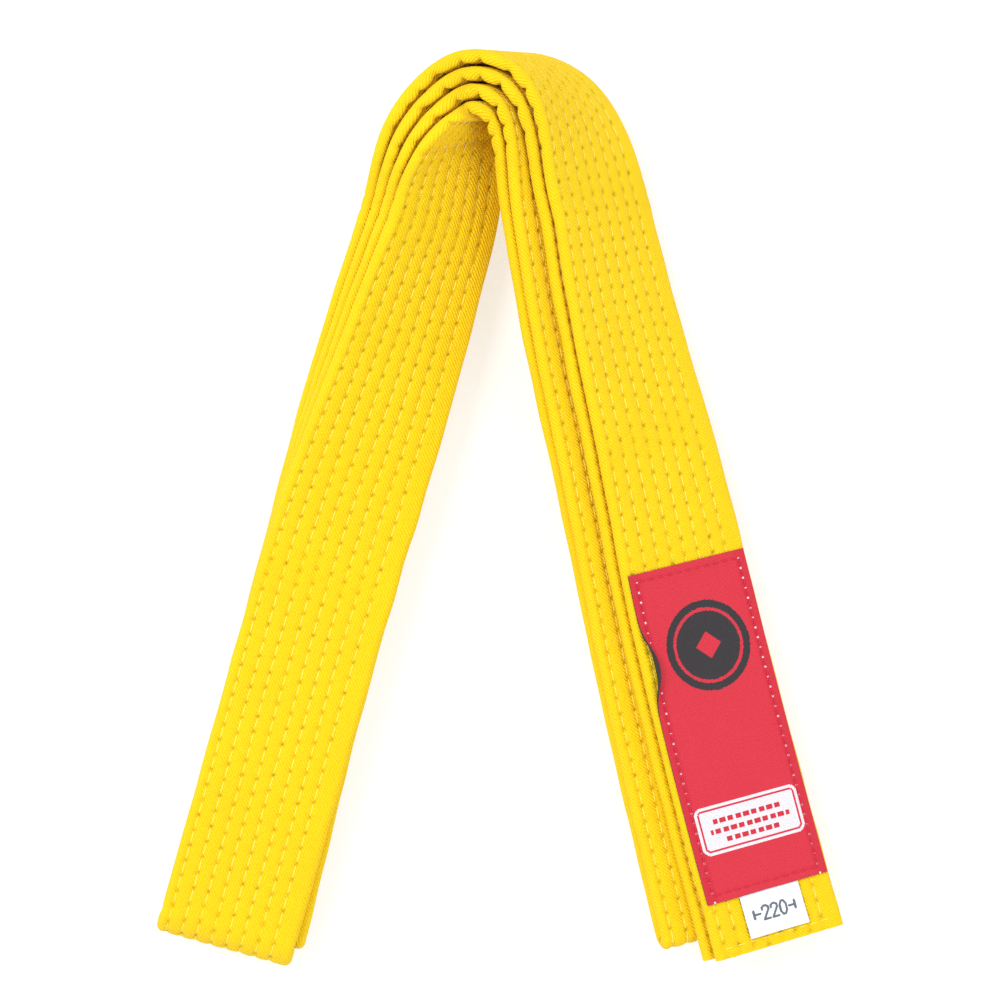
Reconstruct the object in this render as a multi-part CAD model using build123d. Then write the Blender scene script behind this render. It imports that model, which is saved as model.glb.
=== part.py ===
"""A yellow martial arts belt, folded in half twice and laid down as an arch.

The belt is a flat strap: two cotton core plies inside a twill cover, held together by eight rows of
lockstitch. It is folded into four layers, A outermost to D innermost, and the whole stack is bent over
an arch that stands on its edge while its two legs twist down to lie almost flat. The label end is on
top of the right leg. One run of the belt, from the label tip to the plain tip, is: layer A, outer fold,
layer D, right fold, layer C, inner fold, layer B.

Millimetres, +Z up, the belt lies on z = 0, and the arch points towards +Y.
"""

import os
from collections import namedtuple
from math import pi

import numpy as np
from build123d import *

# The strap
WIDTH = 42.0
CORE_HALF_WIDTH = 19.6
CORE_FROM, CORE_TO = 0.1, 1.0  # one ply, measured from the strap's middle surface
COVER_INNER, COVER_OUTER = 1.25, 1.75
COVER_ROUNDING = 0.9
SEAM_HALF_GAP = 0.15
ROW_COUNT = 8
FIRST_ROW = -18.0
ROW_PITCH = 4.65
THREAD_WIDTH = 0.6
THREAD_FROM, THREAD_TO = 1.95, 2.1

# The stack of four layers
PITCH = 4.4
ARCH_LOOSENESS = 0.7  # how much further apart the layers stand at the top of the arch
ARCH_AT = 275.0
ARCH_SPREAD = 30.0
ARCH_LEAN = 0.44  # at the arch the front edge leans back along the strap, the cloth shearing
LEAN_AT = 265.0
LEAN_SPREAD = 25.0
LAYER_PLACE = {"A": 1.5, "B": 0.5, "C": -0.5, "D": -1.5}
HALF_STACK = 1.5 * PITCH + THREAD_TO
START = (-83.01, -128.37)  # the stack's middle at the left folds
SETTLE = -0.138  # moves the stack until its lowest threads touch the surface

# Along the stack: distance, heading in degrees from +Y towards +X, and tilt about the travel
# direction: 0 lies flat with layer D on top, 90 stands on its edge, 180 is flat with A on top.
STATIONS = (
    (0, 16, 2),
    (65, 15.5, 3),
    (127, 16, 9),
    (175, 16.5, 28),
    (217, 16, 42),
    (249, 14, 57),
    (262, 42, 79),
    (275, 91, 96),
    (288, 140, 116),
    (305, 168.5, 130),
    (330, 169, 135),
    (382, 166, 145),
    (435, 168, 156),
    (488, 167, 161),
    (558, 166, 163),
)
# Along the stack: distance, and how far layers A and B have slid towards their back edge.
SLIPS = (
    (0, 0, 2.8),
    (60, 0, 0.5),
    (127, 0, 0),
    (272, 0, 0),
    (325, 8.2, 7.0),
    (435, 8.8, 7.0),
    (558, 12.5, 10.0),
)

# Where the layers end, as distances along the stack
LABEL_TIP = 553.0
PLAIN_TIP = 552.5
RIGHT_FOLD = 543.0
OUTER_FOLD = 2.5
INNER_FOLD = 4.0
HINGE = 397.0
HINGE_GAP = 0.3
LEG_STEP = 40.0
ARCH_STEP = 7.0
ARCH_RANGE = (200.0, 345.0)
FOLD_STEPS = 6

# The label, its thread and the size tag, measured from the label tip and from the strap's middle
LABEL_START, LABEL_END = 17.0, 119.0
LABEL_HALF_WIDTH = 20.0
LABEL_FROM, LABEL_TO = 2.3, 2.9
LABEL_STITCH_INSET = 2.4
LABEL_THREAD_FROM, LABEL_THREAD_TO = 3.1, 3.25
TAG_LENGTH = 13.2
TAG_SIDES = (-9.5, 10.0)
TAG_FROM, TAG_TO = 2.35, 2.75
TAG_GAP = 0.5

# The stitched hems that close the two ends
HEM_INSET = 3.0
HEM_LENGTH = 37.0
HEM_WIDTH = 0.6
ROW_MARGIN = 4.0  # the rows stop this far from an end

Frame = namedtuple("Frame", "at travel across face")


def smooth_column(table, column, distance):
    """One column of a table read at a distance, on a smooth curve through its rows."""
    rows = np.array(table, float)
    x, y = rows[:, 0], rows[:, column]
    slope = np.gradient(y, x)
    i = np.clip(np.searchsorted(x, distance) - 1, 0, len(x) - 2)
    span = x[i + 1] - x[i]
    t = (distance - x[i]) / span
    ends = (2 * t**3 - 3 * t**2 + 1) * y[i] + (3 * t**2 - 2 * t**3) * y[i + 1]
    slopes = (t**3 - 2 * t**2 + t) * slope[i] + (t**3 - t**2) * slope[i + 1]
    return ends + span * slopes


def middle_line():
    """Points on the stack's middle line, 1 mm apart in plan: distances and positions."""
    distance = np.arange(STATIONS[0][0], STATIONS[-1][0] + 1.0)
    heading = np.radians(smooth_column(STATIONS, 1, distance))
    tilt = np.radians(smooth_column(STATIONS, 2, distance))
    steps_x = np.sin(heading)
    steps_y = np.cos(heading)
    x = START[0] + np.concatenate([[0], np.cumsum((steps_x[1:] + steps_x[:-1]) / 2)])
    y = START[1] + np.concatenate([[0], np.cumsum((steps_y[1:] + steps_y[:-1]) / 2)])
    flatness = np.sqrt(np.cos(tilt) ** 2 + 0.02)
    z = WIDTH / 2 * np.sin(tilt) + HALF_STACK * flatness - SETTLE
    return distance, np.stack([x, y, z], axis=1)


LINE_DISTANCE, LINE_POINTS = middle_line()
LINE_TRAVEL = np.gradient(LINE_POINTS, axis=0)


def read_line(values, distance):
    return np.array([np.interp(distance, LINE_DISTANCE, values[:, k]) for k in range(3)])


def unit(vector):
    return vector / np.linalg.norm(vector)


def stack_frame(distance):
    """The frame of the whole stack: across runs from front to back edge, face from D to A."""
    heading = np.radians(smooth_column(STATIONS, 1, distance))
    tilt = np.radians(smooth_column(STATIONS, 2, distance))
    right_hand = np.array([np.cos(heading), -np.sin(heading), 0.0])
    travel = unit(read_line(LINE_TRAVEL, distance))
    across = np.cos(tilt) * right_hand - np.sin(tilt) * np.array([0.0, 0.0, 1.0])
    across = unit(across - np.dot(across, travel) * travel)
    face = np.cross(travel, across)
    lean = ARCH_LEAN * np.exp(-(((distance - LEAN_AT) / LEAN_SPREAD) ** 2))
    return Frame(read_line(LINE_POINTS, distance), travel, across + lean * travel, face)


def slip(layer, distance):
    """How far a layer has slid across the stack. C follows D except at the inner fold, where it meets B."""
    column = {"A": 1, "B": 2}.get(layer)
    if column:
        return float(np.interp(distance, [r[0] for r in SLIPS], [r[column] for r in SLIPS]))
    if layer == "C" and distance < ARCH_AT:
        return slip("B", distance)
    return 0.0


def layer_pitch(distance):
    return PITCH + ARCH_LOOSENESS * np.exp(-(((distance - ARCH_AT) / ARCH_SPREAD) ** 2))


def layer_frame(layer, distance):
    """The frame of one layer of the strap. Its face is the side that carries the label."""
    stack = stack_frame(distance)
    at = stack.at + slip(layer, distance) * stack.across
    at = at + LAYER_PLACE[layer] * layer_pitch(distance) * stack.face
    side = 1 if layer in "AC" else -1
    return Frame(at, -side * stack.travel, stack.across, side * stack.face)


def run_distances(start, end):
    """Distances from start to end of a layer, closer together round the arch."""
    low, high = sorted((start, end))
    bounds = [low, *(b for b in ARCH_RANGE if low < b < high), high]
    distances = []
    for a, b in zip(bounds[:-1], bounds[1:]):
        step = ARCH_STEP if ARCH_RANGE[0] <= a < ARCH_RANGE[1] else LEG_STEP
        count = max(1, round((b - a) / step))
        distances.extend(a + (b - a) * k / count for k in range(count))
    distances.append(high)
    return distances if start < end else distances[::-1]


def run_frames(layer, start, end):
    return [layer_frame(layer, distance) for distance in run_distances(start, end)]


def fold_frames(layer, next_layer, distance, outwards):
    """Frames round a fold between two layers, without the fold's two ends. Outwards is +1 or -1."""
    before = layer_frame(layer, distance)
    after = layer_frame(next_layer, distance)
    centre = (before.at + after.at) / 2
    radius_arm = before.at - centre
    radius = np.linalg.norm(radius_arm)
    arm = unit(radius_arm)
    outward = outwards * stack_frame(distance).travel
    faces_arm = np.dot(before.face, arm)
    frames = []
    for k in range(1, FOLD_STEPS):
        angle = pi * k / FOLD_STEPS
        direction = np.cos(angle) * arm + np.sin(angle) * outward
        along = -np.sin(angle) * arm + np.cos(angle) * outward
        frames.append(Frame(centre + radius * direction, along, before.across, faces_arm * direction))
    return frames


def label_end_frames(tip):
    """The hinged part of layer A, from the label tip to the hinge."""
    return run_frames("A", tip, HINGE + HINGE_GAP)


def main_frames(tip):
    """The rest of the strap, from the hinge to the plain tip."""
    return (
        run_frames("A", HINGE, OUTER_FOLD)
        + fold_frames("A", "D", OUTER_FOLD, -1)
        + run_frames("D", OUTER_FOLD, RIGHT_FOLD)
        + fold_frames("D", "C", RIGHT_FOLD, 1)
        + run_frames("C", RIGHT_FOLD, INNER_FOLD)
        + fold_frames("C", "B", INNER_FOLD, -1)
        + run_frames("B", INNER_FOLD, tip)
    )


def outline_points(frame, outline):
    """An outline, given as (across, face) pairs, as points in space."""
    return [Vector(*(frame.at + v * frame.across + n * frame.face)) for v, n in outline]


def strip(frames, outline):
    """A solid with the same outline at every frame: one ruled side per edge, and two flat ends."""
    sections = [outline_points(frame, outline) for frame in frames]
    faces = []
    for k in range(len(outline)):
        edges = [Wire([Edge.make_line(points[k - 1], points[k])]) for points in sections]
        faces.extend(Shell.make_loft(edges, ruled=True).faces())
    for points in (sections[0], sections[-1]):
        faces.append(Face(Wire.make_polygon(points, close=True)))
    return Solid(Shell(faces))


def box_outline(v_from, v_to, n_from, n_to):
    return [(v_from, n_from), (v_to, n_from), (v_to, n_to), (v_from, n_to)]


def cover_outline():
    """The cover's wall, with rounded edges outside and its lengthwise seam in the back edge."""
    half = WIDTH / 2
    inner = half - (COVER_OUTER - COVER_INNER)
    shoulder = half - COVER_ROUNDING
    flat = COVER_OUTER - COVER_ROUNDING
    return [
        (half, SEAM_HALF_GAP),
        (half, flat),
        (shoulder, COVER_OUTER),
        (-shoulder, COVER_OUTER),
        (-half, flat),
        (-half, -flat),
        (-shoulder, -COVER_OUTER),
        (shoulder, -COVER_OUTER),
        (half, -flat),
        (half, -SEAM_HALF_GAP),
        (inner, -SEAM_HALF_GAP),
        (inner, -flat),
        (inner - COVER_ROUNDING / 2, -COVER_INNER),
        (-inner + COVER_ROUNDING / 2, -COVER_INNER),
        (-inner, -flat),
        (-inner, flat),
        (-inner + COVER_ROUNDING / 2, COVER_INNER),
        (inner - COVER_ROUNDING / 2, COVER_INNER),
        (inner, flat),
        (inner, SEAM_HALF_GAP),
    ]


def core_ply(frames, side):
    """One cotton ply, on the label side (+1) or on the other side (-1) of the middle surface."""
    return strip(frames, box_outline(-CORE_HALF_WIDTH, CORE_HALF_WIDTH, side * CORE_FROM, side * CORE_TO))


def row_thread(frames, row):
    """One row of lockstitch: the needle thread on the face and the bobbin thread behind it."""
    v = FIRST_ROW + ROW_PITCH * row
    sides = (v - THREAD_WIDTH / 2, v + THREAD_WIDTH / 2)
    needle = strip(frames, box_outline(*sides, THREAD_FROM, THREAD_TO))
    bobbin = strip(frames, box_outline(*sides, -THREAD_FROM, -THREAD_TO))
    return Compound([needle, bobbin])


def hem_thread(layer, tip):
    """The stitches that close an end of the strap, just past the ends of the eight rows."""
    frames = run_frames(layer, tip - HEM_INSET, tip - HEM_INSET + HEM_WIDTH)
    half = HEM_LENGTH / 2
    face_line = strip(frames, box_outline(-half, half, THREAD_FROM, THREAD_TO))
    back_line = strip(frames, box_outline(-half, half, -THREAD_FROM, -THREAD_TO))
    return Compound([face_line, back_line])


def on_label_end(near, far):
    """Frames between two distances from the label tip."""
    return run_frames("A", LABEL_TIP - near, LABEL_TIP - far)


def label():
    return strip(
        on_label_end(LABEL_START, LABEL_END),
        box_outline(-LABEL_HALF_WIDTH, LABEL_HALF_WIDTH, LABEL_FROM, LABEL_TO),
    )


def label_thread():
    """The line of stitches round the label, as two long sides and two short ends."""
    side = LABEL_HALF_WIDTH - LABEL_STITCH_INSET
    near = LABEL_START + LABEL_STITCH_INSET
    far = LABEL_END - LABEL_STITCH_INSET
    half = THREAD_WIDTH / 2
    levels = (LABEL_THREAD_FROM, LABEL_THREAD_TO)
    end_side = side - THREAD_WIDTH
    lines = [strip(on_label_end(near, far), box_outline(v - half, v + half, *levels)) for v in (-side, side)]
    for edge in (near, far - THREAD_WIDTH):
        lines.append(strip(on_label_end(edge, edge + THREAD_WIDTH), box_outline(-end_side, end_side, *levels)))
    return Compound(lines)


def size_tag():
    near = LABEL_START - TAG_GAP - TAG_LENGTH
    return strip(on_label_end(near, LABEL_START - TAG_GAP), box_outline(*TAG_SIDES, TAG_FROM, TAG_TO))


def write(name, shape):
    shape.label = name
    export_step(shape, f"parts/{name}.step")


def write_strap(part_name, frames, row_frames):
    """The cover, core plies and rows of one part of the strap."""
    write(f"cover_{part_name}", strip(frames, cover_outline()))
    write(f"core_ply_face_{part_name}", core_ply(frames, 1))
    write(f"core_ply_back_{part_name}", core_ply(frames, -1))
    for row in range(ROW_COUNT):
        write(f"row_thread_{row + 1}_{part_name}", row_thread(row_frames, row))


def main():
    os.makedirs("parts", exist_ok=True)
    write_strap("main", main_frames(PLAIN_TIP), main_frames(PLAIN_TIP - ROW_MARGIN))
    write_strap("label_end", label_end_frames(LABEL_TIP), label_end_frames(LABEL_TIP - ROW_MARGIN))
    write("hem_thread_plain_end", hem_thread("B", PLAIN_TIP))
    write("hem_thread_label_end", hem_thread("A", LABEL_TIP))
    write("label", label())
    write("label_thread", label_thread())
    write("size_tag", size_tag())


if __name__ == "__main__":
    main()
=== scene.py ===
from collections import namedtuple
from math import pi, radians

import bpy
import numpy as np
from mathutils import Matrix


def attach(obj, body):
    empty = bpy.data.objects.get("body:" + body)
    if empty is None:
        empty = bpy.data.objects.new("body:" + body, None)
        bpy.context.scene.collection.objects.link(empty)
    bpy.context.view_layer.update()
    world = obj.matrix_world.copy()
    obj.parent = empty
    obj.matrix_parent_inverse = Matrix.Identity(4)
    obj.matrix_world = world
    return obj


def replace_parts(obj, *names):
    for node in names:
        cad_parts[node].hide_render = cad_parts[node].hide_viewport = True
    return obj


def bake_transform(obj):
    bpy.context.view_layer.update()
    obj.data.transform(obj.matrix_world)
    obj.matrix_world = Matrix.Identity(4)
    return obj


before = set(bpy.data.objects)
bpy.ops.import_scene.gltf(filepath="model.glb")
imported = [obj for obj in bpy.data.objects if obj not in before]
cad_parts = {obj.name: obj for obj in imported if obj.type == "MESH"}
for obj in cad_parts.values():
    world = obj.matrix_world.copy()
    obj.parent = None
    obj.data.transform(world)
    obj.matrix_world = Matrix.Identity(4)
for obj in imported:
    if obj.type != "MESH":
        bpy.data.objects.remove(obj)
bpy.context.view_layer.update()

# ---------------------------------------------------------------- sizes, in millimetres
MM = 0.001
WIDTH = 42.0
HALF_THICKNESS = 1.9
EDGE_RADIUS = 1.9
CORE_HALF_WIDTH = 19.0
ROW_COUNT = 8
FIRST_ROW = -18.0
ROW_PITCH = 4.65
STITCH_PITCH = 4.75
STITCH_RADIUS = 0.19
RING_STEP = 0.62
EDGE_STEP = 0.75

# The quilting: grooves along the rows, deeper at the needle holes, and soft cloth between them, and
# the painted shade in the needle holes
ROW_WANDER, ROW_WANDER_LENGTH = 0.12, 60.0
PADDING_HEIGHT, PADDING_SINK = 0.16, 0.02
GROOVE_WIDTH, GROOVE_DEPTH = 0.62, 0.34
HOLE_LENGTH, HOLE_SHADE_WIDTH, HOLE_DEPTH = 0.6, 0.5, 0.45
# Painted shade in the needle holes: how dark it is, and how much that varies
HOLE_SHADE_STRENGTH, HOLE_SHADE_VARIATION = 0.45, 0.2
PUCKER_WIDTH, PUCKER_HEIGHT = 1.5, 0.07
CREASE_PITCH, CREASE_DEPTH, CREASE_SWELL = 7.5, 1.5, 0.25
CREASE_ONSET = 22.0

# The stitches: how far into the cloth they start and how far they rise, and their length
ROW_STITCH_SINK, ROW_STITCH_RISE = 0.62, 0.36
ROW_STITCH_SHARE = 0.86
HEM_INSET = 3.0
HEM_PITCH, HEM_STITCH = 4.0, 3.4
HEM_SINK, HEM_RISE = 0.3, 0.32
ROW_END_MARGIN = 4.0

# The stack of four layers, A outermost to D innermost
PITCH = 4.4
ARCH_LOOSENESS = 0.7
ARCH_AT = 275.0
ARCH_SPREAD = 30.0
ARCH_LEAN = 0.44
LEAN_AT = 265.0
LEAN_SPREAD = 25.0
LAYER_PLACE = {"A": 1.5, "B": 0.5, "C": -0.5, "D": -1.5}
HALF_STACK = 1.5 * PITCH + 2.1
START = (-83.01, -128.37)
SETTLE = -0.138

# Along the stack: distance, heading from +Y towards +X, and tilt, in degrees
STATIONS = (
    (0, 16, 2),
    (65, 15.5, 3),
    (127, 16, 9),
    (175, 16.5, 28),
    (217, 16, 42),
    (249, 14, 57),
    (262, 42, 79),
    (275, 91, 96),
    (288, 140, 116),
    (305, 168.5, 130),
    (330, 169, 135),
    (382, 166, 145),
    (435, 168, 156),
    (488, 167, 161),
    (558, 166, 163),
)
# Along the stack: distance, and the sideways slip of layers A and B
SLIPS = (
    (0, 0, 2.8),
    (60, 0, 0.5),
    (127, 0, 0),
    (272, 0, 0),
    (325, 8.2, 7.0),
    (435, 8.8, 7.0),
    (558, 12.5, 10.0),
)

LABEL_TIP = 553.0
PLAIN_TIP = 552.5
RIGHT_FOLD = 543.0
OUTER_FOLD = 2.5
INNER_FOLD = 4.0
HINGE = 397.15
STEP = 0.8

# The label and the size tag, measured from the label tip and from the strap's middle
LABEL_START, LABEL_END = 17.0, 119.0
LABEL_HALF_WIDTH = 20.0
LABEL_LEVEL = 2.25
LABEL_THICKNESS = 0.5
LABEL_STITCH_INSET = 2.4
LABEL_STITCH = 3.1
LABEL_STITCH_SHARE = 0.8
LABEL_STITCH_SINK, LABEL_STITCH_RISE = 0.08, 0.16
LABEL_PULL = 0.7
LABEL_PIXEL = 0.3
CURL_AT, CURL_LENGTH = 0.72, 0.085
CURL_WIDTH, CURL_TURN = 3.6, 2.6
TAG_LENGTH = 13.2
TAG_TUCK = 2.0
TAG_SIDES = (-9.5, 10.0)
TAG_LEVEL, TAG_THICKNESS = 2.02, 0.16
TAG_STEP_UP, TAG_LIFT = 0.35, 0.25
TAG_PIXEL = 0.14

# The label's art, from the middle of its width and from its tip-side edge
EMBLEM_X, EMBLEM_Y = 1.0, 76.0
EMBLEM_RADIUS, EMBLEM_RING, EMBLEM_RING_HALF, EMBLEM_DIAMOND = 13.8, 11.0, 0.5, 4.2
SELVEDGE = 3.6
BLOCK_Y, BLOCK_HALF_X, BLOCK_HALF_Y, BLOCK_CORNER = 21.5, 17.0, 7.4, 2.6
BLOCK_LINE = (0.9, 1.5)
BARS = ((23.9, 11.5), (20.9, 13.2), (17.9, 9.0))
BAR_HALF = 0.7
DASH_PITCH, DASH_HALF = 2.6, 0.95
BOBBIN_HALF_WIDTH, BOBBIN_LENGTH = 0.32, 0.45

Frames = namedtuple("Frames", "at travel across face distance")


# ---------------------------------------------------------------- the strap's path
def smooth_column(table, column, distance):
    """One column of a table read at distances, on a smooth curve through its rows."""
    rows = np.array(table, float)
    x, y = rows[:, 0], rows[:, column]
    slope = np.gradient(y, x)
    i = np.clip(np.searchsorted(x, distance) - 1, 0, len(x) - 2)
    span = x[i + 1] - x[i]
    t = (distance - x[i]) / span
    ends = (2 * t**3 - 3 * t**2 + 1) * y[i] + (3 * t**2 - 2 * t**3) * y[i + 1]
    slopes = (t**3 - 2 * t**2 + t) * slope[i] + (t**3 - t**2) * slope[i + 1]
    return ends + span * slopes


def middle_line():
    """Points on the stack's middle line, 1 mm apart in plan."""
    distance = np.arange(STATIONS[0][0], STATIONS[-1][0] + 1.0)
    heading = np.radians(smooth_column(STATIONS, 1, distance))
    tilt = np.radians(smooth_column(STATIONS, 2, distance))
    steps = np.stack([np.sin(heading), np.cos(heading)], axis=1)
    plan = np.cumsum((steps[1:] + steps[:-1]) / 2, axis=0)
    plan = np.array(START) + np.concatenate([np.zeros((1, 2)), plan])
    flatness = np.sqrt(np.cos(tilt) ** 2 + 0.02)
    z = WIDTH / 2 * np.sin(tilt) + HALF_STACK * flatness - SETTLE
    return distance, np.column_stack([plan, z])


LINE_DISTANCE, LINE_POINTS = middle_line()
LINE_TRAVEL = np.gradient(LINE_POINTS, axis=0)


def unit(vectors):
    return vectors / np.linalg.norm(vectors, axis=-1, keepdims=True)


def read_line(values, distance):
    return np.column_stack([np.interp(distance, LINE_DISTANCE, values[:, k]) for k in range(3)])


def stack_frames(distance):
    heading = np.radians(smooth_column(STATIONS, 1, distance))
    tilt = np.radians(smooth_column(STATIONS, 2, distance))[:, None]
    right_hand = np.column_stack([np.cos(heading), -np.sin(heading), 0 * heading])
    travel = unit(read_line(LINE_TRAVEL, distance))
    across = np.cos(tilt) * right_hand - np.sin(tilt) * np.array([0.0, 0.0, 1.0])
    across = unit(across - np.sum(across * travel, axis=1, keepdims=True) * travel)
    at = read_line(LINE_POINTS, distance)
    face = np.cross(travel, across)
    lean = ARCH_LEAN * np.exp(-(((distance - LEAN_AT) / LEAN_SPREAD) ** 2))
    return Frames(at, travel, across + lean[:, None] * travel, face, distance)


def slip(layer, distance):
    """How far a layer has slid across the stack, towards its back edge."""
    table = np.array(SLIPS)
    if layer == "A":
        return np.interp(distance, table[:, 0], table[:, 1])
    slid = np.interp(distance, table[:, 0], table[:, 2])
    if layer == "B":
        return slid
    return np.where((layer == "C") & (distance < ARCH_AT), slid, 0.0)


def layer_frames(layer, distance):
    """Frames along one layer. The face side is the one that carries the label."""
    stack = stack_frames(distance)
    pitch = PITCH + ARCH_LOOSENESS * np.exp(-(((distance - ARCH_AT) / ARCH_SPREAD) ** 2))
    at = stack.at + slip(layer, distance)[:, None] * stack.across
    at = at + (LAYER_PLACE[layer] * pitch)[:, None] * stack.face
    side = 1 if layer in "AC" else -1
    return Frames(at, -side * stack.travel, stack.across, side * stack.face, distance)


def run(layer, start, end):
    count = max(2, int(abs(end - start) / STEP))
    return layer_frames(layer, np.linspace(start, end, count))


def fold(layer, next_layer, distance, outwards):
    """Frames round a fold between two layers, without its two ends."""
    here = np.array([distance])
    before, after = layer_frames(layer, here), layer_frames(next_layer, here)
    centre = (before.at + after.at) / 2
    arm = before.at - centre
    radius = np.linalg.norm(arm)
    arm = arm / radius
    outward = outwards * stack_frames(here).travel
    angle = np.linspace(0, pi, max(8, int(pi * radius / STEP)))[1:-1, None]
    direction = np.cos(angle) * arm + np.sin(angle) * outward
    travel = np.cos(angle) * outward - np.sin(angle) * arm
    face = np.sign(np.sum(before.face * arm)) * direction
    across = np.repeat(before.across, len(angle), axis=0)
    return Frames(centre + radius * direction, travel, across, face, np.full(len(angle), distance))


def join(*parts):
    return Frames(*(np.concatenate(columns) for columns in zip(*parts)))


def main_frames():
    """The strap from the hinge to its plain tip."""
    return join(
        run("A", HINGE, OUTER_FOLD),
        fold("A", "D", OUTER_FOLD, -1),
        run("D", OUTER_FOLD, RIGHT_FOLD),
        fold("D", "C", RIGHT_FOLD, 1),
        run("C", RIGHT_FOLD, INNER_FOLD),
        fold("C", "B", INNER_FOLD, -1),
        run("B", INNER_FOLD, PLAIN_TIP),
    )


def strap_lengths(frames, start=0.0):
    """Length along the strap at each frame, counted from start."""
    steps = np.linalg.norm(np.diff(frames.at, axis=0), axis=1)
    return start + np.concatenate([[0.0], np.cumsum(steps)])


MAIN_FRAMES = main_frames()
LABEL_END_FRAMES = run("A", LABEL_TIP, HINGE)


# ---------------------------------------------------------------- meshes
def mesh_object(name, points, faces, uvs=None, smooth=True):
    """An object from points in millimetres and quads, with a UV map in millimetres."""
    mesh = bpy.data.meshes.new(name)
    mesh.from_pydata((np.asarray(points) * MM).tolist(), [], [list(face) for face in faces])
    if uvs is not None:
        layer = mesh.uv_layers.new(name="Cloth")
        corners = np.empty(len(mesh.loops), dtype=np.int32)
        mesh.loops.foreach_get("vertex_index", corners)
        layer.data.foreach_set("uv", np.asarray(uvs, np.float32)[corners].ravel())
    mesh.polygons.foreach_set("use_smooth", [smooth] * len(mesh.polygons))
    mesh.update()
    obj = bpy.data.objects.new(name, mesh)
    bpy.context.scene.collection.objects.link(obj)
    return obj


def grid_faces(rows, columns, closed):
    """Quads of a grid of points, optionally closed round its columns."""
    i = np.arange(rows - 1)[:, None]
    j = np.arange(columns if closed else columns - 1)[None, :]
    k = (j + 1) % columns
    here, onward = i * columns, (i + 1) * columns
    quads = np.stack([here + j, here + k, onward + k, onward + j], axis=-1)
    return quads.reshape(-1, 4)


def tube_caps(rows, columns):
    """The two end faces of a closed tube of rows rings, on the tube's own end rings."""
    first = list(range(columns))[::-1]
    last = [(rows - 1) * columns + j for j in range(columns)]
    return [first, last]


def place(frames, v, n):
    """Points at across v and face n, arrays of one row per frame."""
    sideways = v[..., None] * frames.across[:, None]
    return frames.at[:, None] + sideways + n[..., None] * frames.face[:, None]


def waves(x, length, seed, count=5):
    """Smooth noise between about -1 and 1 with features near the given length."""
    source = np.random.default_rng(seed)
    total = np.zeros_like(x)
    for _ in range(count):
        size = length * source.uniform(0.6, 1.7)
        total += np.sin(2 * pi * x / size + source.uniform(0, 2 * pi))
    return total / count**0.5 / 1.2


# ---------------------------------------------------------------- the quilted cover
def cover_ring():
    """Points round the cover's outline as (across, face), and their outward directions."""
    flat = WIDTH / 2 - EDGE_RADIUS
    v_flat = np.linspace(-flat, flat, int(2 * flat / RING_STEP))
    turn = np.linspace(pi / 2, -pi / 2, 9)[1:-1]
    top = np.column_stack([v_flat, np.full(len(v_flat), HALF_THICKNESS)])
    up = np.tile([0.0, 1.0], (len(top), 1))
    outward = np.column_stack([np.cos(turn), np.sin(turn)])
    edge = EDGE_RADIUS * outward + (flat, 0.0)
    ring = np.concatenate([top, edge, -top, -edge])
    normals = np.concatenate([up, outward, -up, -outward])
    return ring, normals


def row_place(row):
    return FIRST_ROW + ROW_PITCH * row


def row_shift(row):
    """The stitches of the rows don't line up."""
    return (0.37 * row * STITCH_PITCH * 1.9) % STITCH_PITCH


def row_pitch(row):
    """Each row is sewn at slightly its own pitch."""
    return STITCH_PITCH * (1 + 0.035 * np.sin(2.1 * row))


def row_wander(row, length):
    """How far a row strays from its straight line, at lengths along the strap."""
    return ROW_WANDER * waves(length, ROW_WANDER_LENGTH, 100 + row)


def bell(gap, width):
    return np.exp(-((gap / width) ** 2))


def quilting(length, v):
    """How far the cloth stands out from the flat section, and the painted shade in the needle
    holes.
    """
    depth = np.zeros((len(length), len(v)))
    holes = np.zeros(depth.shape)
    nearest = np.min([np.abs(v - row_place(row)) for row in range(ROW_COUNT)], axis=0)
    depth += PADDING_HEIGHT * np.sin(pi * np.clip(nearest / ROW_PITCH, 0, 0.5)) - PADDING_SINK
    for row in range(ROW_COUNT):
        gap = v[None, :] - row_place(row) - row_wander(row, length)[:, None]
        along = (length - row_shift(row)) / row_pitch(row)
        from_hole = (along - np.round(along)) * row_pitch(row)
        hole = bell(from_hole, HOLE_LENGTH)[:, None]
        pucker = bell(gap, PUCKER_WIDTH) * np.cos(2 * pi * along)[:, None]
        depth -= bell(gap, GROOVE_WIDTH) * (GROOVE_DEPTH + HOLE_DEPTH * hole)
        depth -= PUCKER_HEIGHT * pucker
        # Painted shade in each needle hole, its strength varying along the row
        hole_shade = HOLE_SHADE_STRENGTH + HOLE_SHADE_VARIATION * waves(length, 9.0, 300 + row)[:, None]
        holes = np.maximum(holes, hole_shade * bell(gap, HOLE_SHADE_WIDTH) * hole)
    return depth, holes


def crinkles(frames, length, side):
    """The cloth on the inside of a bend pinches into a few sharp creases."""
    travel = unit(frames.travel)
    step = np.maximum(np.linalg.norm(np.gradient(frames.at, axis=0), axis=1), 1e-6)
    bend = np.sum(np.gradient(travel, axis=0) * frames.face, axis=1) / step
    inside = np.clip(side * bend * CREASE_ONSET, 0, 1)
    crest = np.abs(np.sin(pi * length / CREASE_PITCH + 0.9 * waves(length, 26.0, 41)))
    return inside * (CREASE_SWELL * crest - CREASE_DEPTH * (1 - crest) ** 3)


def relief(frames, length, ring, normals):
    """How far the cloth stands out all over the cover, and the painted shade in its needle holes,
    on its flat sides only.
    """
    depth, holes = quilting(length, ring[:, 0])
    holes = holes * (np.abs(normals[:, 1]) > 0.9)
    for side in (1, -1):
        on_side = np.clip(side * normals[:, 1] + 0.55, 0, 1)
        depth += crinkles(frames, length, side)[:, None] * on_side[None, :]
        depth += np.clip(side * normals[:, 1], 0, 1) * 0.09 * waves(length, 38.0, 7 + side)[:, None]
    depth += 0.10 * waves(length, 21.0, 15)[:, None] * np.abs(normals[:, 0])[None, :]
    return depth, holes


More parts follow.
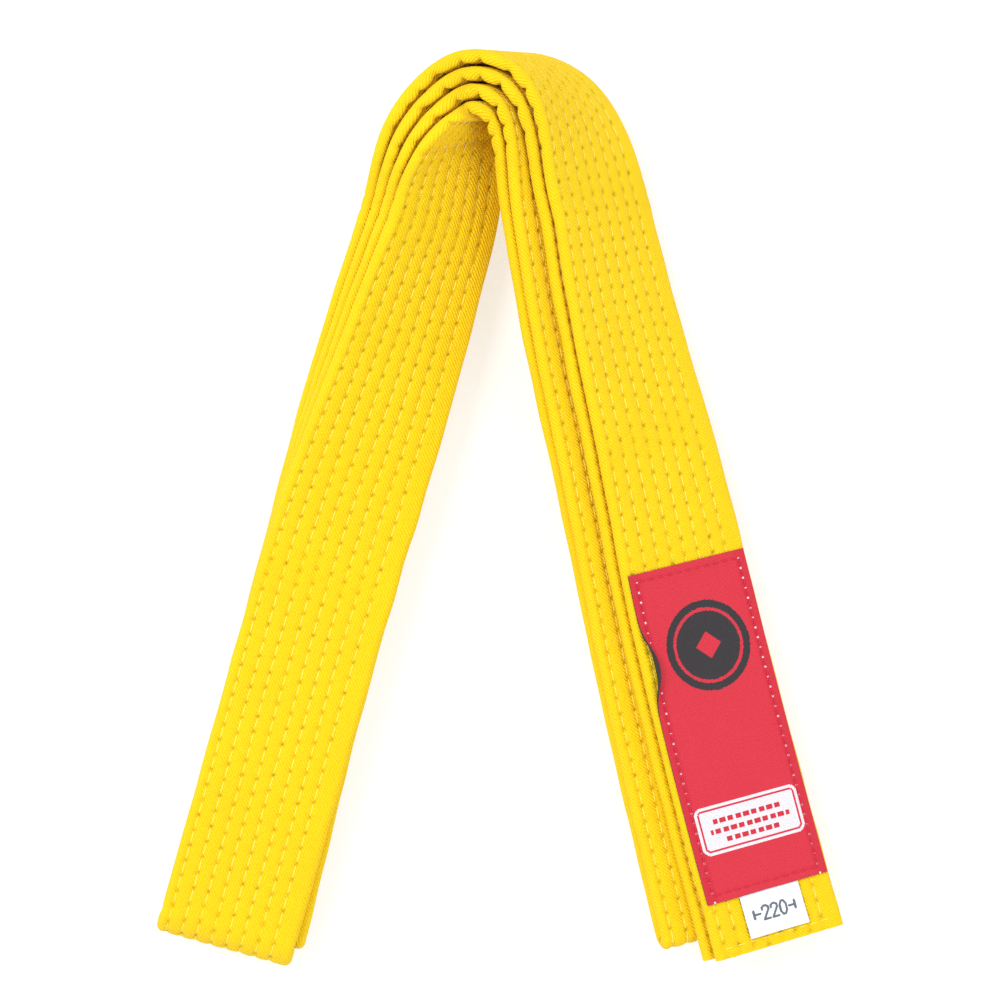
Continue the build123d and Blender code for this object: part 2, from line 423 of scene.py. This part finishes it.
def cover(name, frames, length):
    """The twill cover as a closed tube, with its quilting pressed in."""
    ring, normals = cover_ring()
    depth, holes = relief(frames, length, ring, normals)
    v = ring[:, 0] + depth * normals[:, 0]
    n = ring[:, 1] + depth * normals[:, 1]
    points = place(frames, v, n).reshape(-1, 3)
    columns = len(ring)
    around = np.cumsum(np.concatenate([[0.0], np.linalg.norm(np.diff(ring, axis=0), axis=1)]))
    uvs = np.column_stack([np.repeat(length, columns), np.tile(around, len(length))])
    faces = grid_faces(len(length), columns, closed=True).tolist()
    ends = np.concatenate([points[:columns], points[-columns:]])
    caps = [[len(points) + k for k in reversed(range(columns))]]
    caps.append([len(points) + columns + k for k in range(columns)])
    end_uvs = np.concatenate([ring[:, ::-1] + (length[row], 0.0) for row in (0, -1)])
    points, uvs = np.concatenate([points, ends]), np.concatenate([uvs, end_uvs])
    obj = mesh_object(name, points, faces + caps, uvs)
    run_uv_round_seam(obj, len(length), columns, around[-1] + EDGE_STEP)
    # The painted shade of the needle holes, stored on the cover's points; the end caps get none
    hole_shade = np.append(holes.ravel(), np.zeros(2 * columns)).astype(np.float32)
    attribute = obj.data.attributes.new("HoleShade", "FLOAT", "POINT")
    attribute.data.foreach_set("value", hole_shade)
    return obj


def run_uv_round_seam(obj, rows, columns, around):
    """The UV map runs on across the faces that close each ring, in place of jumping back to 0."""
    layer = obj.data.uv_layers["Cloth"]
    uvs = np.empty(2 * len(obj.data.loops), dtype=np.float32)
    layer.data.foreach_get("uv", uvs)
    closing = np.arange(rows - 1) * columns + columns - 1
    for corner in (1, 2):
        uvs[2 * (4 * closing + corner) + 1] = around
    layer.data.foreach_set("uv", uvs)


def core_ply(name, frames, side):
    """A plain cotton ply inside the cover, ending just short of the cover's own ends."""
    sparse = Frames(*(column[1:-1:4] for column in frames))
    edge = CORE_HALF_WIDTH
    v = np.tile([-edge, edge, edge, -edge], (len(sparse.at), 1))
    n = np.tile([0.1 * side, 0.1 * side, 0.7 * side, 0.7 * side], (len(sparse.at), 1))
    points = place(sparse, v, n).reshape(-1, 3)
    faces = grid_faces(len(sparse.at), 4, closed=True).tolist() + tube_caps(len(sparse.at), 4)
    return mesh_object(name, points, faces, smooth=False)


# ---------------------------------------------------------------- stitches
def at_lengths(frames, length, wanted):
    """Frames read at any lengths along the strap."""
    columns = []
    for values in (frames.at, frames.travel, frames.across, frames.face):
        columns.append(np.column_stack([np.interp(wanted, length, values[:, k]) for k in range(3)]))
    at, travel, across, face = columns
    distance = np.interp(wanted, length, frames.distance)
    return Frames(at, unit(travel), unit(across), unit(face), distance)


def thread_rise(t):
    """The rounded rise of one stitch, 0 at its ends and 1 in the middle, for t from 0 to 1."""
    return np.sin(pi * t) ** 0.6


def bead_line(name, centres, sides, ups, radius):
    """One mesh of short threads. Centres, sides and ups hold (stitches, points along, 3)."""
    corners = 6
    angle = np.linspace(0, 2 * pi, corners, endpoint=False)
    stitches, rings = centres.shape[:2]
    taper = np.sqrt(np.clip(1 - np.linspace(-1, 1, rings) ** 4, 0.05, 1))[None, :, None, None]
    round_ = np.cos(angle)[:, None] * sides[:, :, None] + np.sin(angle)[:, None] * ups[:, :, None]
    points = (centres[:, :, None] + radius * taper * round_).reshape(-1, 3)
    one = grid_faces(rings, corners, closed=True).tolist() + tube_caps(rings, corners)
    quads = np.array([f for f in one if len(f) == 4])
    caps = np.array([f for f in one if len(f) != 4])
    shift = (np.arange(stitches) * rings * corners)[:, None, None]
    side_faces = (quads[None] + shift).reshape(-1, 4).tolist()
    end_faces = (caps[None] + shift).reshape(-1, corners).tolist()
    return mesh_object(name, points, side_faces + end_faces)


def row_stitches(name, frames, length, row, margins):
    """Both threads of one row: a stitch on each side of the strap between every two holes."""
    pitch = row_pitch(row)
    first = np.ceil((length[0] + margins[0] - row_shift(row)) / pitch)
    last = np.floor((length[-1] - margins[1] - row_shift(row)) / pitch)
    holes = row_shift(row) + pitch * np.arange(first, last)
    t = np.linspace(0, 1, 7)
    wanted = holes[:, None] + pitch * ((1 - ROW_STITCH_SHARE) / 2 + ROW_STITCH_SHARE * t[None, :])
    inside = at_lengths(frames, length, wanted.ravel())
    shape = (len(holes), len(t), 3)
    at, across, face = (x.reshape(shape) for x in (inside.at, inside.across, inside.face))
    v = (row_place(row) + row_wander(row, wanted.ravel())).reshape(wanted.shape)
    rise = (HALF_THICKNESS - ROW_STITCH_SINK + ROW_STITCH_RISE * thread_rise(t))[None, :, None]
    both = np.concatenate([at + v[..., None] * across + side * rise * face for side in (1, -1)])
    sides, ups = np.concatenate([across] * 2), np.concatenate([face] * 2)
    return bead_line(name, both, sides, ups, STITCH_RADIUS)


def hem_stitches(name, layer, tip):
    """The stitches across an end of the strap."""
    here = layer_frames(layer, np.array([tip - HEM_INSET]))
    starts = np.arange(FIRST_ROW, -FIRST_ROW - 1.0, HEM_PITCH)
    t = np.linspace(0, 1, 7)
    v = (starts[:, None] + HEM_STITCH * t[None, :])[..., None]
    rise = (HALF_THICKNESS - HEM_SINK + HEM_RISE * thread_rise(t))[None, :, None]
    both = np.concatenate([here.at + v * here.across + side * rise * here.face for side in (1, -1)])
    sides = np.broadcast_to(here.travel, both.shape)
    return bead_line(name, both, sides, np.broadcast_to(here.face, both.shape), STITCH_RADIUS)


# ---------------------------------------------------------------- label and size tag
def label_frames(count):
    """Frames under the label, from its tip-side edge to its far edge."""
    lengths = strap_lengths(LABEL_END_FRAMES)
    return at_lengths(LABEL_END_FRAMES, lengths, np.linspace(LABEL_START, LABEL_END, count))


def label_curl(x, y):
    """Where the label's cloth lies, across and in height. One stretch of its edge rolls up."""
    share = y / (LABEL_END - LABEL_START)
    roll = CURL_TURN * np.exp(-(((share - CURL_AT) / CURL_LENGTH) ** 2)) / CURL_WIDTH + 1e-4
    outer = np.clip(-x - LABEL_HALF_WIDTH + CURL_WIDTH, 0, CURL_WIDTH)
    across = x + outer - np.sin(roll * outer) / roll
    wavy = 0.12 * np.sin(9 * share + 0.15 * x) * np.sin(0.21 * x + 5 * share)
    inner = np.clip((LABEL_HALF_WIDTH - np.abs(x)) / 4, 0, 1)
    return across, (1 - np.cos(roll * outer)) / roll + 0.12 + wavy * inner


def rounded_box(x, y, half_x, half_y, corner):
    """Signed distance from a rounded rectangle, negative inside."""
    dx, dy = np.abs(x) - half_x + corner, np.abs(y) - half_y + corner
    outside = np.hypot(np.maximum(dx, 0), np.maximum(dy, 0))
    return outside + np.minimum(np.maximum(dx, dy), 0) - corner


def label_pattern(x, y):
    """Which yarn shows at each place on the label. x runs across it, y from its tip-side edge."""
    red, deep, black, white = 0, 1, 2, 3
    colour = np.full(x.shape, red)
    colour[np.abs(x) > LABEL_HALF_WIDTH - SELVEDGE] = deep
    from_centre = np.hypot(x - EMBLEM_X, y - EMBLEM_Y)
    colour[from_centre < EMBLEM_RADIUS] = black
    colour[np.abs(from_centre - EMBLEM_RING) < EMBLEM_RING_HALF] = red
    colour[np.abs(x - EMBLEM_X) + np.abs(y - EMBLEM_Y) < EMBLEM_DIAMOND] = red
    bobbin = np.abs(np.abs(x) - LABEL_HALF_WIDTH + LABEL_STITCH_INSET) < BOBBIN_HALF_WIDTH
    colour[bobbin & (np.mod(y, LABEL_STITCH) < BOBBIN_LENGTH)] = white
    depth = -rounded_box(x, y - BLOCK_Y, BLOCK_HALF_X, BLOCK_HALF_Y, BLOCK_CORNER)
    colour[depth > 0] = white
    colour[(depth > BLOCK_LINE[0]) & (depth < BLOCK_LINE[1])] = red
    for middle, half in BARS:
        bar = (np.abs(y - middle) < BAR_HALF) & (np.abs(x) < half)
        dash = np.abs(np.mod(x + 30.0 + middle, DASH_PITCH) - DASH_PITCH / 2) < DASH_HALF
        colour[bar & dash] = deep
    return colour


def slab(name, top, bottom, uvs, face_materials, materials, edge_material):
    """A thin woven piece from two grids of points, coloured face by face on its top side."""
    rows, columns = top.shape[:2]
    count = rows * columns
    front = grid_faces(rows, columns, closed=False)
    back = front[:, ::-1] + count
    loop = list(range(columns)) + [i * columns + columns - 1 for i in range(1, rows)]
    loop += [(rows - 1) * columns + j for j in range(columns - 2, -1, -1)]
    loop += [i * columns for i in range(rows - 2, 0, -1)]
    loop = np.array(loop)
    following = np.roll(loop, -1)
    rim = np.column_stack([following, loop, loop + count, following + count])
    faces = np.concatenate([front, back, rim])
    points = np.concatenate([top.reshape(-1, 3), bottom.reshape(-1, 3)])
    obj = mesh_object(name, points, faces, np.concatenate([uvs, uvs]))
    for material in materials:
        obj.data.materials.append(material)
    index = np.full(len(faces), edge_material, dtype=np.int32)
    index[: len(front)] = face_materials
    obj.data.polygons.foreach_set("material_index", index)
    obj.data.update()
    return obj


def label():
    columns = int(2 * LABEL_HALF_WIDTH / LABEL_PIXEL) + 1
    rows = int((LABEL_END - LABEL_START) / LABEL_PIXEL) + 1
    frames = label_frames(rows)
    x = np.linspace(-LABEL_HALF_WIDTH, LABEL_HALF_WIDTH, columns)
    y = np.linspace(0, LABEL_END - LABEL_START, rows)
    grid_x, grid_y = np.meshgrid(x, y)
    across, rise = label_curl(grid_x, grid_y)
    middle = LABEL_LEVEL + rise - LABEL_PULL * stitch_pull(grid_x, grid_y)
    slope_x = np.gradient(middle, axis=1)
    run_x = np.gradient(across, axis=1)
    size = np.hypot(slope_x, run_x)
    half = LABEL_THICKNESS / 2
    aside, up = half * slope_x / size, half * run_x / size
    top = place(frames, across - aside, middle + up)
    bottom = place(frames, across + aside, middle - up)
    middle_x = (grid_x[:-1, :-1] + grid_x[1:, 1:]) / 2
    middle_y = (grid_y[:-1, :-1] + grid_y[1:, 1:]) / 2
    pattern = label_pattern(middle_x, middle_y).ravel()
    uvs = np.column_stack([grid_x.ravel(), grid_y.ravel()])
    return slab("label", top, bottom, uvs, pattern, [woven(name) for name in YARNS], 2)


def stitch_pull(x, y):
    """The label dips along its stitch line."""
    inset_x = LABEL_HALF_WIDTH - LABEL_STITCH_INSET
    span = LABEL_END - LABEL_START
    line = np.abs(rounded_box(x, y - span / 2, inset_x, span / 2 - LABEL_STITCH_INSET, 0.5))
    return 0.16 * np.exp(-((line / 0.8) ** 2))


def label_stitch_places(t):
    """Points at shares t along each stitch round the label's edge, and each stitch's direction."""
    inset_x = LABEL_HALF_WIDTH - LABEL_STITCH_INSET
    y0, y1 = LABEL_STITCH_INSET, LABEL_END - LABEL_START - LABEL_STITCH_INSET
    corners = np.array([[-inset_x, y0], [inset_x, y0], [inset_x, y1], [-inset_x, y1]])
    places, directions = [], []
    for start, end in zip(corners, np.roll(corners, -1, axis=0)):
        length = np.linalg.norm(end - start)
        count = int(length / LABEL_STITCH)
        pitch = length / count
        direction = (end - start) / length
        for k in range(count):
            first = pitch * (k + (1 - LABEL_STITCH_SHARE) / 2)
            along = first + pitch * LABEL_STITCH_SHARE * t[:, None]
            places.append(start + along * direction)
            directions.append(direction)
    return np.array(places), np.array(directions)


def label_stitches():
    """The stitches round the label's edge."""
    t = np.linspace(0, 1, 6)
    places, directions = label_stitch_places(t)
    wanted = LABEL_START + places[..., 1].ravel()
    inside = at_lengths(LABEL_END_FRAMES, strap_lengths(LABEL_END_FRAMES), wanted)
    shape = places.shape[:2] + (3,)
    at, travel, across, face = (column.reshape(shape) for column in inside[:4])
    sewn_at, curl = label_curl(places[..., 0], places[..., 1])
    top = LABEL_LEVEL + 0.5 * LABEL_THICKNESS - LABEL_STITCH_SINK
    rise = curl + top + LABEL_STITCH_RISE * thread_rise(t)
    centres = at + sewn_at[..., None] * across + rise[..., None] * face
    sideways = directions[:, None, :1] * travel - directions[:, None, 1:] * across
    return bead_line("label_thread", centres, unit(sideways), face, STITCH_RADIUS)


# Strokes of the size tag's number, on a grid 2 wide and 4 high, and of the measure marks beside it
GLYPHS = {
    "2": [(0, 3), (0, 3.6), (0.6, 4), (1.4, 4), (2, 3.6), (2, 2.8), (0, 0), (2, 0)],
    "0": [(0, 1), (0, 3), (0.6, 4), (1.4, 4), (2, 3), (2, 1), (1.4, 0), (0.6, 0), (0, 1)],
    "<": [(2, 2), (0, 2), (0, 3.2), (0, 0.8)],
    ">": [(0, 2), (2, 2), (2, 3.2), (2, 0.8)],
}
TAG_TEXT = "<220>"
LETTER_ADVANCE = 2.9
LETTER_WIDTH, LETTER_HEIGHT = 2.0, 4.0
STROKE_HALF_WIDTH = 0.36


def near_stroke(x, y, start, end):
    """Distance from a straight stroke."""
    start, end = np.array(start, float), np.array(end, float)
    along = end - start
    t = np.clip(((x - start[0]) * along[0] + (y - start[1]) * along[1]) / (along @ along), 0, 1)
    return np.hypot(x - start[0] - t * along[0], y - start[1] - t * along[1])


def tag_print(x, y):
    """Whether the printed ink covers a place on the tag, in millimetres from its middle."""
    inked = np.zeros(x.shape, bool)
    cursor = (LETTER_ADVANCE - LETTER_WIDTH - LETTER_ADVANCE * len(TAG_TEXT)) / 2
    for letter in TAG_TEXT:
        points = GLYPHS[letter]
        for start, end in zip(points[:-1], points[1:]):
            inked |= near_stroke(x - cursor, y + LETTER_HEIGHT / 2, start, end) < STROKE_HALF_WIDTH
        cursor += LETTER_ADVANCE
    return inked


def tag_frames():
    """Frames along the tag, from under the label's edge outwards."""
    lengths = strap_lengths(LABEL_END_FRAMES)
    outer = LABEL_START - TAG_LENGTH
    count = int((TAG_LENGTH + TAG_TUCK) / TAG_PIXEL) + 1
    wanted = np.linspace(LABEL_START + TAG_TUCK, outer, count)
    return at_lengths(LABEL_END_FRAMES, lengths, wanted)


def size_tag():
    """The satin size tag, sewn under the label's edge and lying over it."""
    frames = tag_frames()
    rows = len(frames.at)
    columns = int((TAG_SIDES[1] - TAG_SIDES[0]) / TAG_PIXEL) + 1
    x = np.linspace(TAG_SIDES[0], TAG_SIDES[1], columns)
    y = np.linspace(-TAG_TUCK, TAG_LENGTH, rows)
    grid_x, grid_y = np.meshgrid(x, y)
    lift = TAG_LIFT * np.clip(grid_y / TAG_LENGTH, 0, 1) ** 2
    lift += 0.12 * np.sin(0.35 * grid_x + 0.3 * grid_y)
    out = np.clip(grid_y / TAG_TUCK, 0, 1)
    level = TAG_LEVEL + out * (TAG_STEP_UP + lift)
    top = place(frames, grid_x, level + TAG_THICKNESS)
    bottom = place(frames, grid_x, level)
    middle_x = (grid_x[:-1, :-1] + grid_x[1:, 1:]) / 2 - sum(TAG_SIDES) / 2
    middle_y = (grid_y[:-1, :-1] + grid_y[1:, 1:]) / 2
    pattern = tag_print(middle_x, TAG_LENGTH / 2 - middle_y).astype(int).ravel()
    uvs = np.column_stack([grid_x.ravel(), grid_y.ravel()])
    return slab("size_tag", top, bottom, uvs, pattern, [satin("tag_satin"), ink("tag_ink")], 0)


# ---------------------------------------------------------------- materials
class Recipe:
    """A Principled material, with short calls that add nodes and link them."""

    def __init__(self, name, roughness, colour=(0.8, 0.8, 0.8)):
        self.material = bpy.data.materials.new(name)
        self.material.use_nodes = True
        self.tree = self.material.node_tree
        self.shader = self.tree.nodes["Principled BSDF"]
        self.shader.inputs["Roughness"].default_value = roughness
        self.shader.inputs["Base Color"].default_value = (*colour, 1.0)

    def node(self, kind, settings=None, **inputs):
        """A node of this kind. Inputs are constants, or another node's output socket."""
        made = self.tree.nodes.new(kind)
        for name, value in (settings or {}).items():
            setattr(made, name, value)
        for name, value in inputs.items():
            key = int(name[1:]) if name[0] == "_" else name.replace("_", " ")
            socket = made.inputs[key]
            if isinstance(value, bpy.types.NodeSocket):
                self.tree.links.new(value, socket)
            else:
                socket.default_value = value
        return made.outputs[0]

    def math(self, operation, a, b=0.0):
        return self.node("ShaderNodeMath", {"operation": operation}, _0=a, _1=b)

    def cloth_axes(self):
        """The UV map in millimetres: along and around the strap."""
        uv = self.tree.nodes.new("ShaderNodeUVMap")
        uv.uv_map = "Cloth"
        axes = self.tree.nodes.new("ShaderNodeSeparateXYZ")
        self.tree.links.new(uv.outputs[0], axes.inputs[0])
        return uv.outputs[0], axes.outputs[0], axes.outputs[1]

    def attribute(self, name):
        made = self.tree.nodes.new("ShaderNodeAttribute")
        made.attribute_name = name
        return made.outputs["Fac"]

    def noise(self, place_, scale, detail, roughness):
        """Cloudy noise between 0 and 1."""
        settings = dict(Vector=place_, Scale=scale, Detail=detail, Roughness=roughness)
        return self.node("ShaderNodeTexNoise", None, **settings)

    def ribs(self, amount, pitch):
        """A wave between -1 and 1 along a position socket, repeated every pitch millimetres."""
        return self.math("SINE", self.math("MULTIPLY", amount, 2 * pi / pitch))

    def mix(self, factor, first, second):
        """A colour between two others, each a tuple or a socket."""
        made = self.tree.nodes.new("ShaderNodeMix")
        made.data_type = "RGBA"
        colour_inputs = [s for s in made.inputs if s.type == "RGBA"]
        self.connect(factor, made.inputs[0])
        for value, socket in zip((first, second), colour_inputs):
            self.connect(value, socket)
        return [s for s in made.outputs if s.type == "RGBA"][0]

    def connect(self, value, socket):
        if isinstance(value, bpy.types.NodeSocket):
            self.tree.links.new(value, socket)
        elif isinstance(value, tuple):
            socket.default_value = (*value, 1.0)
        else:
            socket.default_value = value

    def colour(self, value):
        self.connect(value, self.shader.inputs["Base Color"])

    def bump(self, height, distance_mm, strength=1.0):
        distance = distance_mm * MM
        settings = dict(Height=height, Distance=distance, Strength=strength)
        normal = self.node("ShaderNodeBump", None, **settings)
        self.tree.links.new(normal, self.shader.inputs["Normal"])

    def specular(self, level):
        self.shader.inputs["Specular IOR Level"].default_value = level

    def sheen(self, weight, tint, roughness=0.5):
        self.shader.inputs["Sheen Weight"].default_value = weight
        self.shader.inputs["Sheen Tint"].default_value = (*tint, 1.0)
        self.shader.inputs["Sheen Roughness"].default_value = roughness


def linear(red, green, blue):
    """A colour given as 0 to 255 on screen, as the shader wants it."""
    shares = (c / 255 for c in (red, green, blue))
    return tuple(((c + 0.055) / 1.055) ** 2.4 if c > 0.04 else c / 12.92 for c in shares)


TWILL_PITCH = 1.3
TWILL_BUMP = 0.13
YELLOW = linear(254, 220, 0)
DEEP_YELLOW = linear(252, 206, 0)
PALE_YELLOW = linear(254, 228, 70)
RIB_SHADOW = linear(226, 172, 0)
# The colour of the painted shade in the needle holes
HOLE_SHADE_COLOUR = linear(104, 82, 6)
YARN_PITCH_ALONG, YARN_PITCH_ACROSS = 0.5, 0.42
SATIN_PITCH_ALONG, SATIN_PITCH_ACROSS = 0.34, 0.9
DULL = 0.2


def twill_cotton(name):
    """Dense yellow twill with a diagonal rib, paler on its crests where painted shade darkens the
    grooves, and darkened by painted shade in the needle holes.
    """
    recipe = Recipe(name, 0.85)
    uv, along, around = recipe.cloth_axes()
    cloud = recipe.noise(uv, scale=0.035, detail=3.0, roughness=0.55)
    fleck = recipe.noise(uv, scale=1.7, detail=2.0, roughness=0.6)
    diagonal = recipe.math("ADD", along, recipe.math("MULTIPLY", around, 1.1))
    wobble = recipe.math("MULTIPLY", fleck, 0.25)
    rib = recipe.ribs(recipe.math("ADD", diagonal, wobble), TWILL_PITCH)
    base = recipe.mix(cloud, DEEP_YELLOW, YELLOW)
    base = recipe.mix(recipe.math("MULTIPLY", fleck, 0.22), base, PALE_YELLOW)
    # Painted shade in the rib's grooves
    groove_shade = recipe.math("MULTIPLY", recipe.math("SUBTRACT", 1.0, rib), 0.15)
    base = recipe.mix(groove_shade, base, RIB_SHADOW)
    # Painted shade in the needle holes, read from the cover's attribute
    base = recipe.mix(recipe.attribute("HoleShade"), base, HOLE_SHADE_COLOUR)
    recipe.colour(base)
    recipe.bump(recipe.math("ADD", rib, recipe.math("MULTIPLY", fleck, 1.6)), TWILL_BUMP)
    recipe.sheen(0.12, linear(255, 240, 150))
    recipe.specular(DULL)
    return recipe.material


def plain_cotton(name):
    """The unbleached cotton plies inside."""
    recipe = Recipe(name, 0.9, linear(226, 216, 190))
    recipe.specular(DULL)
    return recipe.material


def thread(name, colour):
    """Polyester sewing thread, a little shinier than the cotton."""
    recipe = Recipe(name, 0.6, colour)
    recipe.sheen(0.3, linear(255, 250, 210))
    recipe.specular(0.35)
    return recipe.material


YARNS = {
    "label_red": linear(214, 24, 52),
    "label_deep_red": linear(208, 12, 46),
    "label_black": linear(34, 28, 36),
    "label_white": linear(232, 230, 238),
}


def woven(name):
    """Fine label weave: close ribs across, painted shade between the ribs, and a little variation
    from yarn to yarn.
    """
    recipe = Recipe(name, 0.62)
    uv, across, along = recipe.cloth_axes()
    fleck = recipe.noise(uv, scale=2.4, detail=2.0, roughness=0.6)
    ribs = recipe.ribs(along, YARN_PITCH_ALONG)
    colour = YARNS[name]
    dark = tuple(c * 0.72 for c in colour)
    light = tuple(min(1.0, c * 1.2 + 0.01) for c in colour)
    base = recipe.mix(fleck, dark, light)
    # Painted shade between the ribs
    rib_gap_shade = recipe.math("MULTIPLY", recipe.math("SUBTRACT", 1.0, ribs), 0.13)
    recipe.colour(recipe.mix(rib_gap_shade, base, dark))
    recipe.bump(recipe.math("ADD", ribs, recipe.ribs(across, YARN_PITCH_ACROSS)), 0.03)
    recipe.sheen(0.04, linear(255, 230, 235))
    return recipe.material


def satin(name):
    """The tag's white satin, with a faint rib."""
    recipe = Recipe(name, 0.38, linear(236, 237, 242))
    _, across, along = recipe.cloth_axes()
    ribs = recipe.ribs(along, SATIN_PITCH_ALONG)
    recipe.bump(recipe.math("ADD", ribs, recipe.ribs(across, SATIN_PITCH_ACROSS)), 0.012)
    recipe.sheen(0.2, (1.0, 1.0, 1.0))
    return recipe.material


def ink(name):
    return Recipe(name, 0.6, linear(92, 100, 112)).material


def paint(obj, material):
    obj.data.materials.append(material)
    return obj


# ---------------------------------------------------------------- the belt
def belongs(obj, slot, *nodes):
    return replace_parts(obj, *nodes)


def bend_with_label_end(obj):
    """Bakes the object's transform into its mesh."""
    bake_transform(obj)


def ride_belt(obj):
    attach(obj, "belt")


def build_strap(suffix, frames, start, move, margins):
    """One length of strap, with its cover, plies and rows of stitches."""
    length = strap_lengths(frames, start)
    cloth = bpy.data.materials["cotton_twill"]
    quilt = paint(cover("cover_" + suffix, frames, length), cloth)
    belongs(quilt, "cover", "cover_" + suffix)
    move(quilt)
    for side, kind in ((1, "face"), (-1, "back")):
        name = f"core_ply_{kind}_{suffix}"
        ply = paint(core_ply(name, frames, side), bpy.data.materials["core_cotton"])
        belongs(ply, "core", name)
        move(ply)
    for row in range(ROW_COUNT):
        name = f"row_thread_{row + 1}_{suffix}"
        stitches = row_stitches(name, frames, length, row, margins)
        belongs(paint(stitches, bpy.data.materials["row_thread"]), "row_thread", name)
        move(stitches)


def build_hem(name, layer, tip, move):
    hem = paint(hem_stitches(name, layer, tip), bpy.data.materials["row_thread"])
    belongs(hem, "row_thread", name)
    move(hem)


def build_label_and_tag():
    badge = label()
    belongs(badge, "label", "label")
    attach(badge, "label_end")
    stitches = paint(label_stitches(), bpy.data.materials["label_thread"])
    belongs(stitches, "label_thread", "label_thread")
    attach(stitches, "label_end")
    tag = size_tag()
    belongs(tag, "size_tag", "size_tag")
    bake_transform(tag)


def build_belt():
    twill_cotton("cotton_twill")
    plain_cotton("core_cotton")
    thread("row_thread", linear(253, 220, 30))
    thread("label_thread", linear(216, 36, 62))
    end_length = strap_lengths(LABEL_END_FRAMES)[-1]
    build_strap("label_end", LABEL_END_FRAMES, 0.0, bend_with_label_end, (ROW_END_MARGIN, 0.0))
    build_hem("hem_thread_label_end", "A", LABEL_TIP, bend_with_label_end)
    build_strap("main", MAIN_FRAMES, end_length, ride_belt, (0.0, ROW_END_MARGIN))
    build_hem("hem_thread_plain_end", "B", PLAIN_TIP, ride_belt)
    build_label_and_tag()


# ---------------------------------------------------------------- table, lights and camera
CAMERA_HEIGHT = 1.060
VIEW_WIDTH = 0.3082
VIEW_CENTRE = (0.0, 0.0026)
TABLE_SIZE, TABLE_LEVEL = 6.0, -0.0006
TABLE_GLOW = 0.62
SKY_STRENGTH = 0.92
WHITE = (1.0, 1.0, 1.0, 1.0)


def floor():
    bpy.ops.mesh.primitive_plane_add(size=TABLE_SIZE, location=(0.0, 0.0, TABLE_LEVEL))
    table = bpy.context.object
    table.name = "table"
    recipe = Recipe("table_white", 0.9, (0.42, 0.42, 0.42))
    recipe.specular(0.0)
    recipe.shader.inputs["Emission Color"].default_value = WHITE
    recipe.shader.inputs["Emission Strength"].default_value = TABLE_GLOW
    table.data.materials.append(recipe.material)


def area_light(name, place_, turn, size, power):
    light = bpy.data.lights.new(name, "AREA")
    light.shape = "DISK"
    light.size = size
    light.energy = power
    obj = bpy.data.objects.new(name, light)
    obj.location = place_
    obj.rotation_euler = [radians(a) for a in turn]
    bpy.context.scene.collection.objects.link(obj)


def studio():
    world = bpy.data.worlds.new("studio")
    world.use_nodes = True
    background = world.node_tree.nodes["Background"]
    background.inputs["Color"].default_value = WHITE
    background.inputs["Strength"].default_value = SKY_STRENGTH
    bpy.context.scene.world = world
    area_light("key", (-0.7, 0.5, 1.3), (-20, -28, 0), size=0.7, power=12.0)
    area_light("fill", (0.9, -0.3, 1.2), (12, 36, 0), size=0.9, power=4.0)
    bpy.context.scene.view_settings.view_transform = "Standard"


def camera():
    data = bpy.data.cameras.new("camera")
    data.sensor_width = 36.0
    data.lens = data.sensor_width * CAMERA_HEIGHT / VIEW_WIDTH
    obj = bpy.data.objects.new("camera", data)
    obj.location = (*VIEW_CENTRE, CAMERA_HEIGHT)
    bpy.context.scene.collection.objects.link(obj)
    bpy.context.scene.camera = obj


build_belt()
floor()
studio()
camera()
